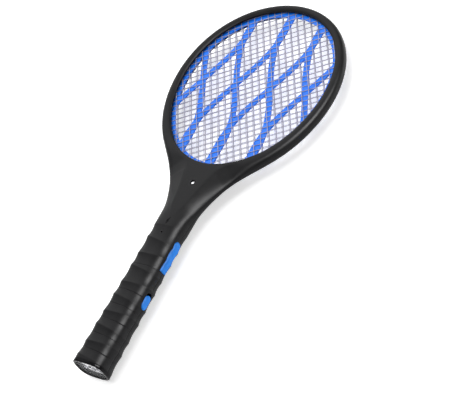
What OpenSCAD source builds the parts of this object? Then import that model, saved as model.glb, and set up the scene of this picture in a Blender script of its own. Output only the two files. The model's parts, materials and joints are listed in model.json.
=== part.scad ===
// Electric fly swatter: a racket with three wire grids and a blue web in an oval frame,
// and a handle whose lower half is a pull-off torch.
// The design is laid out with Y = 0 at the torch lens and Z = 0 on the frame's parting plane.
// place() then moves it, so that it lies on its back with the origin under its middle.

/* [Overall] */
// Length from the torch lens to the top of the head
overall_l = 500; // [490:1:510]
// Wall thickness of the moulded shells
wall = 2.2; // [1.8:0.1:2.6]
// Gap between moving pieces and their openings
gap = 0.35; // [0.3:0.05:0.5]

/* [Head] */
// Half width of the head
head_a = 106.9; // [104:0.1:109]
// Half length of the head's oval
head_b = 125.1; // [122:0.1:127]
// Half width of the opening
open_a = 95.9; // [94:0.1:97]
// Half length of the opening
open_b = 112.4; // [110:0.1:113.5]
// How much wider the oval is above its middle
egg = 0.056; // [0.03:0.001:0.08]
// Half thickness of the head's frame
ring_h = 7.1; // [7:0.1:8]

/* [Grids] */
// Thickness of a grid wire
wire_d = 0.8; // [0.7:0.1:1]
// Distance between the steep wires
pitch_steep = 8.4; // [7.5:0.1:10]
// Distance between the shallow wires
pitch_shallow = 7.35; // [6.5:0.05:9]
// Turn of the wires from the head's long axis
wire_turn = 30; // [25:1:35]
// Width of one strip of the web
strip_w = 7; // [5:0.5:8]
// Distance between the web's columns
column_gap = 46.7; // [44:0.1:49]

/* [Handle] */
// Half width of the handle at the lens end
lens_w = 20.2; // [20:0.1:20.6]
// Half thickness of the handle at the lens end
lens_h = 17; // [16.8:0.1:17.2]
// Half thickness of the handle above the torch
grip_h = 13.6; // [13.4:0.1:14]
// Squareness of the handle's section, 2 is an ellipse
squareness = 3; // [2.6:0.1:3.2]
// Place of the first grip ridge on the parting plane
ridge_0 = 8.4; // [8:0.1:9]
// Distance between grip ridges
ridge_gap = 18.77; // [18.6:0.01:18.9]
// Depth of the hollow between two ridges
ridge_d = 0.9; // [0.6:0.1:1.1]
// Place of the joint between torch and handle on the parting plane
split_y = 125.4; // [125:0.1:125.8]

/* [Controls] */
// Travel of the zap button
button_travel = 1.2; // [0.8:0.1:1.4]
// Width of the zap button
button_w = 10.4; // [10:0.1:11]
// Travel of the torch switch
switch_travel = 3; // [2:0.1:4]
// Radius of the torch's connector pin
pin_r = 2; // [1.9:0.05:2]

/* [Hidden] */

fit = 0.05;             // radial clearance of a pin in its bore
head_y = overall_l - head_b;
open_y = head_y + 2.1;
mid_z = lens_h;
bezel_l = 3;            // length of the bezel along the handle
slant = -0.18;          // slope of every second ridge across the handle
lean = -0.08;           // slope of the ridges and of the torch joint through the handle
grip_top = 9;           // number of the top ridge
arc_steps = 14;         // steps round one half of the handle's section
oval_steps = 72;        // steps round the head
band_steps = 4;         // stations from one ridge to the next
black = [0.13, 0.13, 0.14];
blue = [0.05, 0.42, 0.95];
steel = [0.72, 0.73, 0.75];
brass = [0.8, 0.65, 0.3];
green = [0.1, 0.4, 0.2];

// Heights of the layers held in the head's frame, from the parting plane
seat = 0.05;            // gap between a layer and what holds it
weld = 0.01;            // half the gap between two families of wires
held = 0.46;            // share of the band that the layers reach into
web_top = 1.4;
web_bottom = -0.5;
front_wire_z = web_top + seat + wire_d;
front_lip = front_wire_z + wire_d + seat;
middle_wire_z = web_bottom - seat - wire_d / 2;
rear_wire_z = -3.85;
rear_lip = rear_wire_z - wire_d - seat;

button_y0 = split_y + 1.2;
button_y1 = 165.1;
button_proud = button_travel;  // so a pressed button is flush
switch_y = 89.8;
switch_slot_w = 10;
knob_l = 16.5;
knob_y = switch_y - switch_travel / 2;
pin_l = 10;
jack_l = 13;
port_y = 23;
cell_r = 9.25;
cell_l = 65;
cell_y = 35;
dot_y = 167.5;
throat_screw_y = 236.7;
throat_screw_z = 8;
handle_screw_y = [152, 205];

module place() {
    translate([0, -overall_l / 2, mid_z]) children();
}

// ---- Outlines ----

function lerp(a, b, t) = a + (b - a) * t;
function clamp01(t) = min(1, max(0, t));
function ease(t) = t * t * (3 - 2 * t);
function signed_pow(v, p) = sign(v) * pow(abs(v), p);

// A point of an egg-shaped oval, with the angle counted from the head's top
function oval_point(a, b, cy, t) = [a * sin(t) * (1 + egg * cos(t)), cy + b * cos(t)];

// A point of the frame's band: 0 is the opening's edge and 1 is the outside
function band_point(f, t) =
    lerp(oval_point(open_a, open_b, open_y, t), oval_point(head_a, head_b, head_y, t), f);

function band_outline(f) = [for (i = [0 : oval_steps - 1]) band_point(f, 360 * i / oval_steps)];

// Half width of the handle and throat: straight grip, then a flare into the head
flare_y0 = 176;
flare_y1 = 292;
grip_w = 19.2;
flare_w = oval_point(head_a, head_b, head_y, acos((flare_y1 - head_y) / head_b))[0];
function half_w(y) =
    y < flare_y0
        ? lerp(lens_w, grip_w, clamp01(y / flare_y0))
        : grip_w + (flare_w - grip_w) * flare(clamp01((y - flare_y0) / (flare_y1 - flare_y0)));
function flare(t) = pow(t, 1.95) + 0.5 * pow(t, 8) * (1 - t);

// Half thickness: tapers along the torch, then evenly down the throat to the opening's foot
throat_y0 = 172;
foot_y = open_y - open_b;
function half_h(y) =
    y < 120
        ? lerp(lens_h, grip_h, y / 120)
        : lerp(grip_h, ring_h + 0.9, clamp01((y - throat_y0) / (foot_y - throat_y0)));

// ---- Grip stations: [place along the handle, slope across it, slope through it, inset] ----

function ridge_y(k) = ridge_0 + ridge_gap * k;
function ridge_slant(k) = (k % 2 == 0) ? slant : 0;
function band_stations(k0, k1) = [
    for (k = [k0 : k1 - 1])
        for (i = [0 : band_steps - 1])
            let (t = i / band_steps)
            [
                lerp(ridge_y(k), ridge_y(k + 1), t),
                lerp(ridge_slant(k), ridge_slant(k + 1), t),
                lean,
                ridge_d * 4 * t * (1 - t)
            ]
];

// One point of a station's section: the inset runs inwards from the skin
function skin_point(st, inset, a) =
    let (
        w = half_w(st[0]) - inset,
        h = half_h(st[0]) - inset,
        x = w * signed_pow(cos(a), 2 / squareness),
        z = h * signed_pow(sin(a), 2 / squareness)
    )
    [x, st[0] + st[1] * x + st[2] * z, z];

// Half a hollow section: the skin one way and the inside back, closed into a C
function shell_ring(st, side, thick) = concat(
    [for (i = [0 : arc_steps]) skin_point(st, st[3], side * 180 * i / arc_steps)],
    [for (i = [arc_steps : -1 : 0]) skin_point(st, thick + ridge_d, side * 180 * i / arc_steps)]
);

// A solid made from rings with the same number of points, closed by flat ends.
// halved says that a ring is a C, whose end is closed across its two sides.
module loft(rings, halved = false, flip = false) {
    n = len(rings[0]);
    m = len(rings);
    sides = [
        for (i = [0 : m - 2])
            for (j = [0 : n - 1])
                let (a = i * n + j, b = i * n + (j + 1) % n, c = b + n, d = a + n)
                each [[a, b, c], [a, c, d]]
    ];
    last = (m - 1) * n;
    ends = halved
        ? [
            for (j = [0 : n / 2 - 2])
                let (a = j, b = j + 1, c = n - 2 - j, d = n - 1 - j)
                each [
                    [a, c, b], [a, d, c],
                    [last + a, last + b, last + c], [last + a, last + c, last + d]
                ]
        ]
        : [[for (j = [n - 1 : -1 : 0]) j], [for (j = [0 : n - 1]) last + j]];
    faces = concat(sides, ends);
    polyhedron(
        points = [for (r = rings) each r],
        faces = flip ? [for (f = faces) [for (i = [len(f) - 1 : -1 : 0]) f[i]]] : faces,
        convexity = 8
    );
}

// A closed band swept round the head: profile points are [share of the band, height]
module head_sweep(profile, flip = false) {
    n = len(profile);
    rings = [
        for (i = [0 : oval_steps - 1])
            [for (p = profile) let (q = band_point(p[0], 360 * i / oval_steps)) [q[0], q[1], p[1]]]
    ];
    faces = [
        for (i = [0 : oval_steps - 1])
            for (j = [0 : n - 1])
                let (
                    i2 = (i + 1) % oval_steps,
                    a = i * n + j,
                    b = i * n + (j + 1) % n,
                    c = i2 * n + (j + 1) % n,
                    d = i2 * n + j
                )
                each (flip ? [[a, c, b], [a, d, c]] : [[a, b, c], [a, c, d]])
    ];
    polyhedron(points = [for (r = rings) each r], faces = faces, convexity = 8);
}

// ---- Frame ----

frame_stations = concat(
    [[split_y + 0.15, 0, lean, 0.5]],
    [[ridge_y(6) + 0.5 * ridge_gap, slant / 2, lean, ridge_d]],
    [[ridge_y(6) + 0.8 * ridge_gap, slant / 4, lean, 0.5 * ridge_d]],
    band_stations(7, grip_top),
    [[ridge_y(grip_top), 0, lean, 0]],
    [[ridge_y(grip_top) + 7, 0, lean * 0.7, 0.3]],
    [for (y = [198 : 8 : 254]) [y, 0, lean * clamp01((230 - y) / 60), 0]],
    [[259.5, 0, 0, 0]]
);

// The flare between the throat and the head, as a flat plate under the band's middle
function flare_outline() = concat(
    [for (y = [214 : 6 : flare_y1]) [half_w(y) - 0.4, y]],
    [for (t = [138 : 6 : 222]) band_point(0.5, t)],
    [for (y = [flare_y1 : -6 : 214]) [-(half_w(y) - 0.4), y]]
);

module flare_plate(z0, z1) {
    translate([0, 0, z0]) linear_extrude(z1 - z0) difference() {
        polygon(flare_outline());
        translate([-7, 206]) square([14, 46]);
    }
}

// Way for the grid leads through the foot of the head's band
module lead_channel() {
    translate([-6, 246, -2.6]) cube([12, 12.2, 5.2]);
}

module button_opening(clear) {
    translate([12, 0, 0]) rotate([90, 0, 90]) linear_extrude(14) button_outline(clear);
}

// The button's outline on the handle's side: a round head end and a lower end along the joint
module button_outline(clear) {
    r = button_w / 2 + clear;
    y0 = button_y0 - clear;
    y1 = button_y1 - button_w / 2;
    intersection() {
        union() {
            translate([y1, 0]) circle(r = r, $fn = 48);
            translate([y0 - 4, -r]) square([y1 - y0 + 4, 2 * r]);
        }
        polygon([[y0 + lean * 9, 9], [y0 - lean * 9, -9], [190, -9], [190, 9]]);
    }
}

module frame_front() {
    color(black) place() difference() {
        union() {
            head_sweep([
                [0, front_lip], [0, 5.5], [0.12, 6.4], [0.33, ring_h], [0.62, ring_h], [0.86, 6.1],
                [1, 4.2], [1, 0], [0.8, 0], [0.8, 4.2], [0.66, 5], [0.5, 5], [0.5, front_lip]
            ]);
            loft([for (st = frame_stations) shell_ring(st, 1, wall)], halved = true);
            flare_plate(0, 6);
            for (y = handle_screw_y) translate([0, y, 2]) cylinder(r = 3.4, h = half_h(y) - 4, $fn = 32);
            translate([0, throat_screw_y, 4.1]) cylinder(r = 4.2, h = 4, $fn = 32);
        }
        button_opening(gap);
        lead_channel();
        translate([0, throat_screw_y, -1]) cylinder(r = 1.5, h = 20, $fn = 32);
        translate([0, throat_screw_y, throat_screw_z - 1.2]) cylinder(r = 3, h = 9, $fn = 32);
        translate([0, dot_y, 6]) cylinder(r = 1.1, h = 12, $fn = 32);
        for (y = handle_screw_y) translate([0, y, -1]) cylinder(r = 1.15, h = 11, $fn = 32);
    }
}

module frame_rear() {
    color(black) place() difference() {
        union() {
            head_sweep([
                [-0.15, rear_lip], [-0.15, -5.4], [0.12, -6.4], [0.33, -ring_h], [0.62, -ring_h],
                [0.86, -6.1], [1, -4.2], [1, 0], [0.8, 0], [0.8, -4.2], [0.66, -5.2], [0.5, -5.2],
                [0.5, rear_lip]
            ], flip = true);
            loft([for (st = frame_stations) shell_ring(st, -1, wall)], halved = true, flip = true);
            flare_plate(-6, 0);
            for (y = handle_screw_y) {
                translate([0, y, 2 - half_h(y)]) cylinder(r = 4.2, h = half_h(y) - 2.4, $fn = 32);
            }
            translate([0, throat_screw_y, -9]) cylinder(r = 3.4, h = 13, $fn = 32);
        }
        button_opening(gap);
        lead_channel();
        translate([0, throat_screw_y, -6]) cylinder(r = 1.15, h = 20, $fn = 32);
        for (y = handle_screw_y) {
            translate([0, y, -20]) cylinder(r = 1.5, h = 24, $fn = 32);
            translate([0, y, -20]) cylinder(r = 2.8, h = 12, $fn = 32);
        }
    }
}

// ---- Grids ----

// Half length of the chord of the held grid's edge, along one wire
grid_a = open_a + 3.6;
grid_b = open_b + 3.9;
function chord(turn, off) =
    let (
        d = [cos(turn), sin(turn)],
        n = [-sin(turn), cos(turn)],
        qa = pow(d[0] / grid_a, 2) + pow(d[1] / grid_b, 2),
        qb = off * (d[0] * n[0] / pow(grid_a, 2) + d[1] * n[1] / pow(grid_b, 2)),
        qc = off * off * (pow(n[0] / grid_a, 2) + pow(n[1] / grid_b, 2)) - 1,
        disc = qb * qb - qa * qc
    )
    disc <= 0 ? [0, 0] : [(-qb - sqrt(disc)) / qa, (-qb + sqrt(disc)) / qa];

// Straight wires side by side, each cut where the frame holds it
module wires(turn, pitch, z, d) {
    count = ceil(grid_b / pitch);
    translate([0, open_y, z]) rotate([0, 0, turn]) {
        for (i = [-count : count]) {
            c = chord(turn, i * pitch);
            if (c[1] - c[0] > 20) {
                translate([c[0], i * pitch, 0]) rotate([0, 90, 0]) {
                    cylinder(d = d, h = c[1] - c[0], $fn = 16);
                }
            }
        }
    }
}

// A welded grid: one family of wires over the other
module wire_grid(z) {
    wires(wire_turn - 90, pitch_steep, z + wire_d / 2 + weld, wire_d);
    wires(wire_turn, pitch_shallow, z - wire_d / 2 - weld, wire_d);
}

module front_mesh() {
    color(steel) place() wire_grid(front_wire_z);
}

module rear_mesh() {
    color(steel) place() wire_grid(rear_wire_z);
}

module middle_grid() {
    color(steel) place() wires(wire_turn - 90, pitch_steep, middle_wire_z, wire_d);
}

// Middle line of a web strip: down from one column to the next
cross_y0 = 302;
cross_y1 = 456;
function strip_x(k, dir, y) =
    let (t = clamp01((cross_y1 - y) / (cross_y1 - cross_y0)))
    column_gap * (k + dir * ease(t)) + dir * lerp(-1.2, 2.2, t);
function strip_outline(k, dir) =
    let (ys = [for (y = [open_y - open_b - 4 : 6 : open_y + open_b + 10]) y])
    concat(
        [for (y = ys) [strip_x(k, dir, y) - strip_half(k, dir, y), y]],
        [for (i = [len(ys) - 1 : -1 : 0]) [strip_x(k, dir, ys[i]) + strip_half(k, dir, ys[i]), ys[i]]]
    );
// Half the strip's width measured across the head, which grows where the strip leans over
function strip_half(k, dir, y) =
    let (slope = strip_x(k, dir, y + 0.5) - strip_x(k, dir, y - 0.5))
    strip_w / 2 * sqrt(1 + slope * slope);

web_a = 91.7;
web_b = 107.7;
module web_inside() {
    polygon([for (i = [0 : 95]) oval_point(web_a, web_b, open_y, 360 * i / 96)]);
}

module web_grid() {
    color(blue) place() translate([0, 0, web_bottom]) linear_extrude(web_top - web_bottom) {
        difference() {
            polygon(band_outline(held));
            web_inside();
        }
        intersection() {
            polygon(band_outline(0.4));
            union() {
                for (k = [-3 : 3]) {
                    polygon(strip_outline(k, 1));
                    polygon(strip_outline(k, -1));
                }
            }
        }
    }
}

spacer_z0 = rear_wire_z + wire_d + seat;
spacer_z1 = middle_wire_z - wire_d / 2 - seat;
module spacer_ring() {
    color(black) place() head_sweep([
        [0, spacer_z0], [0, spacer_z1], [held, spacer_z1], [held, spacer_z0]
    ]);
}

// ---- Screws ----

// A self-tapping screw along Z: the head's top is at the origin, and the shank goes down
module screw(head_r, head_h, shank_r, shank_l) {
    difference() {
        union() {
            translate([0, 0, -head_h]) cylinder(r = head_r, h = head_h, $fn = 32);
            translate([0, 0, -head_h - shank_l]) cylinder(r = shank_r, h = shank_l, $fn = 32);
        }
        for (a = [0, 90]) {
            rotate([0, 0, a]) translate([-head_r * 0.62, -0.35, -0.8]) cube([head_r * 1.24, 0.7, 2]);
        }
    }
}

module throat_screw() {
    color(steel) place() translate([0, throat_screw_y, throat_screw_z]) screw(2.6, 1.2, 1.15, 11);
}

module handle_screws() {
    color(steel) place() {
        for (y = handle_screw_y) {
            translate([0, y, -9.4]) rotate([180, 0, 0]) screw(2.5, 1.4, 1.15, 14);
        }
    }
}

// ---- Zap button and its switch ----

// Skin of the handle's side at the height of the button, with the grip's waves
function side_x(y) =
    let (k = floor((y - ridge_0) / ridge_gap), t = (y - ridge_y(k)) / ridge_gap)
    half_w(y) - ridge_d * 4 * t * (1 - t);

module zap_button() {
    ys = [for (y = [button_y0 - 4 : 2 : button_y1 + 2]) y];
    inside_x = 14.2;
    color(blue) place() difference() {
        union() {
            intersection() {
                translate([0, 0, -10]) linear_extrude(20) polygon(concat(
                    [[inside_x, ys[0]]],
                    [for (y = ys) [side_x(y) + button_proud * clamp01((button_y1 + 1 - y) / 4), y]],
                    [[inside_x, ys[len(ys) - 1]]]
                ));
                button_opening(0);
            }
            translate([12.1, 148, -2.5]) cube([2.4, 5, 5]);
        }
        translate([12, 133, -3.7]) cube([4.2, 13, 7.4]);
        translate([12, 154.5, -3.7]) cube([4.2, 5, 7.4]);
    }
}

module zap_switch() {
    color([0.1, 0.1, 0.1]) place() difference() {
        translate([5, 146.5, -3.9]) cube([4.2, 8, 7.8]);
        translate([6.2, 150.5, 0]) rotate([0, 90, 0]) cylinder(r = 1.6 + fit, h = 5, $fn = 32);
    }
}

module zap_switch_plunger() {
    color("ivory") place() translate([7.8, 150.5, 0]) rotate([0, 90, 0]) {
        cylinder(r = 1.6, h = 4.25, $fn = 32);
    }
}

// ---- Electronics in the handle ----

board_z = -4.5;
board_t = 1.6;
board_top = board_z + board_t;

module control_board() {
    color(green) place() difference() {
        translate([-13, 157.5, board_z]) cube([24, 55.5, board_t]);
        translate([0, handle_screw_y[1], board_z - 1]) cylinder(r = 4.6, h = 4, $fn = 48);
    }
}

module step_up_transformer() {
    color([0.85, 0.75, 0.2]) place() {
        translate([-11.5, 177, board_top]) cube([13, 15, 2]);
        translate([-8.5, 180, board_top + 2]) cube([7, 9, 6]);
        translate([-11.5, 177, board_top + 8]) cube([13, 15, 1.4]);
    }
}

module hv_capacitors() {
    color([0.55, 0.15, 0.1]) place() {
        translate([-11.5, 194, board_top]) cube([6, 14, 8]);
        translate([5.4, 194, board_top]) cube([5, 14, 8]);
    }
}

module multiplier_diodes() {
    color([0.12, 0.12, 0.12]) place() {
        for (y = [178, 183, 188]) {
            translate([3.6, y, board_top + 1.4]) rotate([0, 90, 0]) cylinder(r = 1.3, h = 5.2, $fn = 24);
        }
    }
}

module bleed_resistor() {
    color([0.8, 0.7, 0.5]) place() translate([-11, 211, board_top + 1.3]) rotate([0, 90, 0]) {
        cylinder(r = 1.2, h = 7, $fn = 24);
    }
}

module oscillator_transistor() {
    color([0.12, 0.12, 0.12]) place() intersection() {
        translate([-5.5, 171, board_top]) cylinder(r = 2.4, h = 5.5, $fn = 32);
        translate([-8, 168.6, board_top]) cube([5, 3.8, 6]);
    }
}

// A dome LED along Z with its flange at the origin
module dome_led(r, h) {
    cylinder(r = r + 0.4, h = 0.8, $fn = 32);
    cylinder(r = r, h = h - r, $fn = 32);
    translate([0, 0, h - r]) intersection() {
        sphere(r = r, $fn = 32);
        translate([0, 0, r]) cube(2 * r, center = true);
    }
}

module indicator_led() {
    color([0.9, 0.2, 0.15]) place() translate([0, dot_y, board_top]) {
        dome_led(1.5, 11.5);
    }
}

// An insulated lead: a tube swept along hand-placed points
function unit(v) = v / norm(v);
module lead(points, r) {
    n = len(points);
    rings = [
        for (i = [0 : n - 1])
            let (
                d = unit(points[min(n - 1, i + 1)] - points[max(0, i - 1)]),
                u = unit(cross(d, [0, 0, 1])),
                v = cross(u, d)
            )
            [for (j = [0 : 7]) points[i] + r * (cos(45 * j) * u + sin(45 * j) * v)]
    ];
    loft(rings);
}

module lead_outer_grids() {
    color([0.75, 0.1, 0.1]) place() lead([
        [-4, 214, -2], [-4, 222, -1], [-4.4, 232, 0], [-4.6, 244, 0.8], [-4.6, 257.4, 1]
    ], 0.7);
}

module lead_middle_grid() {
    color([0.15, 0.15, 0.15]) place() lead([
        [4, 214, -2], [4, 222, -1.6], [4.4, 232, -1.4], [4.6, 244, -1.4], [4.6, 257.4, -1.4]
    ], 0.7);
}

// ---- Socket of the handle ----

// A solid slice of the handle's inside, parallel to the torch joint
module plug_slice(y0, y1, clear) {
    loft([
        for (y = [y0, y1])
            [
                for (i = [0 : 2 * arc_steps - 1])
                    skin_point([y, 0, lean, 0], wall + ridge_d + clear, 180 * i / arc_steps)
            ]
    ]);
}

jack_y0 = split_y + 1;
module socket_plate() {
    color(black) place() difference() {
        plug_slice(split_y + 0.6, split_y + 3.4, 0.1);
        translate([0, split_y - 6, 0]) rotate([-90, 0, 0]) cylinder(r = 4, h = 20, $fn = 48);
        button_opening(gap + 0.5);
    }
}

module socket_barrel() {
    color(brass) place() translate([0, jack_y0, 0]) rotate([-90, 0, 0]) difference() {
        union() {
            cylinder(r = 4, h = jack_l - 3, $fn = 48);
            translate([0, 0, 4.8]) cylinder(r = 5, h = 1.4, $fn = 48);
        }
        translate([0, 0, -1]) cylinder(r = pin_r + fit, h = jack_l + 2, $fn = 48);
    }
}

module socket_insulator() {
    color([0.9, 0.9, 0.85]) place() translate([0, jack_y0 + jack_l - 3, 0]) rotate([-90, 0, 0]) {
        difference() {
            cylinder(r = 4, h = 3, $fn = 48);
            translate([0, 0, -1]) cylinder(r = pin_r + 0.3, h = 2.6, $fn = 48);
        }
    }
}

module socket_tip_contact() {
    color(steel) place() translate([0, jack_y0 + jack_l, 0]) rotate([-90, 0, 0]) {
        cylinder(r = 3.4, h = 0.5, $fn = 48);
        translate([-1.5, -0.4, 0.5]) cube([3, 0.8, 4]);
    }
}

// ---- Torch shells ----

torch_stations = concat(
    [[bezel_l + 0.05, 0, 0, 0.3]],
    band_stations(0, 6),
    [[ridge_y(6) - 1, slant * 0.6, lean, 0]],
    [[split_y - 0.15, 0, lean, 0.4]]
);

module switch_slot() {
    translate([13, switch_y, 0]) rotate([90, 0, 90]) linear_extrude(10) {
        stadium(knob_l + switch_travel + 2 * gap, switch_slot_w);
    }
}

// A slot shape lying along X
module stadium(l, w) {
    for (s = [-1, 1]) translate([s * (l - w) / 2, 0]) circle(d = w, $fn = 48);
    square([l - w, w], center = true);
}

module port_opening(clear) {
    translate([0, port_y, -20]) linear_extrude(12) stadium(9 + 2 * clear, 3.3 + 2 * clear);
}

module torch_front_shell() {
    color(black) place() difference() {
        loft([for (st = torch_stations) shell_ring(st, 1, wall)], halved = true);
        switch_slot();
    }
}

module torch_rear_shell() {
    color(black) place() difference() {
        loft([for (st = torch_stations) shell_ring(st, -1, wall)], halved = true, flip = true);
        switch_slot();
        port_opening(0);
    }
}

// ---- Lamp ----

// The lens end's outline, drawn in from the skin, in the XZ plane and extruded along Y
module lens_end(y0, length, inset) {
    translate([0, y0 + length, 0]) rotate([90, 0, 0]) linear_extrude(length) {
        polygon([for (i = [0 : 47]) let (p = skin_point([0, 0, 0, 0], inset, 7.5 * i)) [p[0], p[2]]]);
    }
}

lens_y = 0.8;
lens_t = 1.4;
module bezel_ring() {
    color(black) place() difference() {
        lens_end(0, bezel_l, 0);
        lens_end(-1, bezel_l + 2, 2.9);
        lens_end(lens_y, bezel_l, 2.1 - fit);
    }
}

module lens() {
    color([0.85, 0.9, 0.95, 0.4]) place() lens_end(lens_y, lens_t, 2.1);
}

module lens_gasket() {
    color([0.2, 0.2, 0.2]) place() difference() {
        lens_end(lens_y + lens_t, bezel_l - lens_y - lens_t, 2.1);
        lens_end(lens_y, bezel_l, 3.2);
    }
}

led_x = [-10.2, 0, 10.2];
cup_r = 4.9;
reflector_l = 9;
reflector_y = bezel_l + 0.1;
carrier_inset = wall + ridge_d + 0.8;
module reflector() {
    color([0.9, 0.9, 0.92]) place() difference() {
        lens_end(reflector_y, reflector_l, carrier_inset);
        for (x = led_x) {
            translate([x, reflector_y - 0.01, 0]) rotate([-90, 0, 0]) {
                cylinder(r1 = cup_r, r2 = 2.6, h = reflector_l + 1, $fn = 48);
            }
        }
    }
}

module led_board() {
    color("white") place() lens_end(reflector_y + reflector_l, 1.6, carrier_inset);
}

module torch_leds() {
    color([0.95, 0.9, 0.5]) place() {
        for (x = led_x) {
            translate([x, reflector_y + reflector_l, 0]) rotate([90, 0, 0]) {
                translate([-1.4, -1.4, 0]) cube([2.8, 2.8, 0.6]);
                translate([0, 0, 0.6]) cylinder(r = 1.2, h = 0.5, $fn = 32);
            }
        }
    }
}

// ---- Power ----

module battery_cell() {
    color([0.2, 0.55, 0.3]) place() translate([0, cell_y, 0]) rotate([-90, 0, 0]) {
        cylinder(r = cell_r, h = cell_l - 1.2, $fn = 64);
        translate([0, 0, cell_l - 1.2]) cylinder(r = 3.2, h = 1.2, $fn = 32);
    }
}

module battery_spring() {
    turns = 4;
    steps = 14;
    spring_l = cell_y - 16.1;
    path = [
        for (i = [0 : turns * steps])
            let (a = 360 * i / steps, r = lerp(6, 3.2, i / (turns * steps)))
            [r * cos(a), 15.6 + (spring_l - 0.6) * i / (turns * steps), r * sin(a)]
    ];
    color(steel) place() {
        translate([-7, 14.1, -7]) cube([14, 0.6, 14]);
        lead(path, 0.45);
    }
}

module battery_plate() {
    color(steel) place() translate([-6, cell_y + cell_l, -6]) cube([12, 0.5, 12]);
}

module charge_board() {
    color(green) place() translate([-8, 17.5, -11.6]) cube([16, 36, 1.2]);
}

module charging_port() {
    color(steel) place() difference() {
        translate([0, port_y, -15.4]) linear_extrude(3.8) stadium(8.8, 3.1);
        translate([0, port_y, -16]) linear_extrude(3.8) stadium(8.2, 2.5);
    }
}

module charge_led() {
    color([0.9, 0.2, 0.15]) place() translate([-0.8, 29, -12.4]) cube([1.6, 0.8, 0.8]);
}

// ---- Torch switch ----

module torch_switch_knob() {
    color(blue) place() difference() {
        union() {
            translate([16.9, knob_y, 0]) rotate([90, 0, 90]) linear_extrude(3.6) {
                stadium(knob_l, switch_slot_w - 2 * gap);
            }
            translate([15.2, knob_y - 2.7, -2]) cube([1.8, 5.4, 4]);
        }
        translate([14.2, knob_y - 1.1, -1.1]) cube([2.1, 2.2, 2.2]);
    }
}

module torch_switch_lever() {
    color("ivory") place() translate([13.2, knob_y - 1.05, -1.05]) cube([3, 2.1, 2.1]);
}

module torch_switch_body() {
    color([0.6, 0.6, 0.62]) place() difference() {
        translate([9.6, switch_y - 8, -4]) cube([4.6, 16, 8]);
        translate([13.1, knob_y - 1.5, -1.5]) cube([3, switch_travel + 3, 3]);
    }
}

// ---- Connector ----

module torch_end_plate() {
    color(black) place() difference() {
        plug_slice(split_y - 3.4, split_y - 0.5, 0.1);
        translate([0, split_y - 8, 0]) rotate([-90, 0, 0]) cylinder(r = 3, h = 20, $fn = 48);
    }
}

module plug_sleeve() {
    color(steel) place() translate([0, split_y - 6.4, 0]) rotate([-90, 0, 0]) {
        cylinder(r = 4, h = 1.5, $fn = 48);
        cylinder(r = 2.95, h = 5.5, $fn = 48);
        cylinder(r = pin_r, h = 6.4 + pin_l - 4.2, $fn = 48);
    }
}

module plug_insulator() {
    color([0.1, 0.1, 0.1]) place() translate([0, split_y + pin_l - 4.2, 0]) rotate([-90, 0, 0]) {
        cylinder(r = pin_r, h = 0.8, $fn = 48);
    }
}

module plug_tip() {
    color(steel) place() translate([0, split_y + pin_l - 3.4, 0]) rotate([-90, 0, 0]) {
        rotate_extrude($fn = 48) polygon([
            [0, 0], [pin_r, 0], [pin_r, 1.2], [pin_r - 0.5, 1.7], [pin_r, 2.3], [pin_r - 0.6, 3.1], [0, 3.4]
        ]);
    }
}

frame_front();
frame_rear();
front_mesh();
web_grid();
middle_grid();
spacer_ring();
rear_mesh();
throat_screw();
handle_screws();
zap_button();
zap_switch();
zap_switch_plunger();
control_board();
step_up_transformer();
hv_capacitors();
multiplier_diodes();
bleed_resistor();
oscillator_transistor();
indicator_led();
lead_outer_grids();
lead_middle_grid();
socket_plate();
socket_barrel();
socket_insulator();
socket_tip_contact();
torch_front_shell();
torch_rear_shell();
bezel_ring();
lens();
lens_gasket();
reflector();
led_board();
torch_leds();
battery_cell();
battery_spring();
battery_plate();
charge_board();
charging_port();
charge_led();
torch_switch_body();
torch_switch_lever();
torch_switch_knob();
torch_end_plate();
plug_sleeve();
plug_insulator();
plug_tip();
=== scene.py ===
import json
import math

import bmesh
import bpy
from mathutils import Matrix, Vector


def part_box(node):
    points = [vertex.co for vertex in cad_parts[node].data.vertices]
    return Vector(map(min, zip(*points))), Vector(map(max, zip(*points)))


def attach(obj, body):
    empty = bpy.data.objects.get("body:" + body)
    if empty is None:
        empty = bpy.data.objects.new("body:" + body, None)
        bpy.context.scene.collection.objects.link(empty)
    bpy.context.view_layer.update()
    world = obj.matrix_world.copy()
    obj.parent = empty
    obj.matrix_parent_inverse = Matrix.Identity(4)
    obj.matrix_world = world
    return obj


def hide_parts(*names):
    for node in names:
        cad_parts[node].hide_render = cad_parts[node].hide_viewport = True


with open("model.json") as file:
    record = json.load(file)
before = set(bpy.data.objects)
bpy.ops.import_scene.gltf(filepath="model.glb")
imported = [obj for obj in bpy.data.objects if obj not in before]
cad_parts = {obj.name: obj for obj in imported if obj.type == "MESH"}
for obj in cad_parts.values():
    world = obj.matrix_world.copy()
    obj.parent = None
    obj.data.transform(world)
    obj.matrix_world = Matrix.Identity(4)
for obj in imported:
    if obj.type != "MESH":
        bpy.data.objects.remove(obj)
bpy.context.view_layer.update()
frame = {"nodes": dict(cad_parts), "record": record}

# ---- Driving sizes, in millimetres ----
# Y runs from the torch lens (0) to the head, Z is counted from the parting plane.

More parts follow.
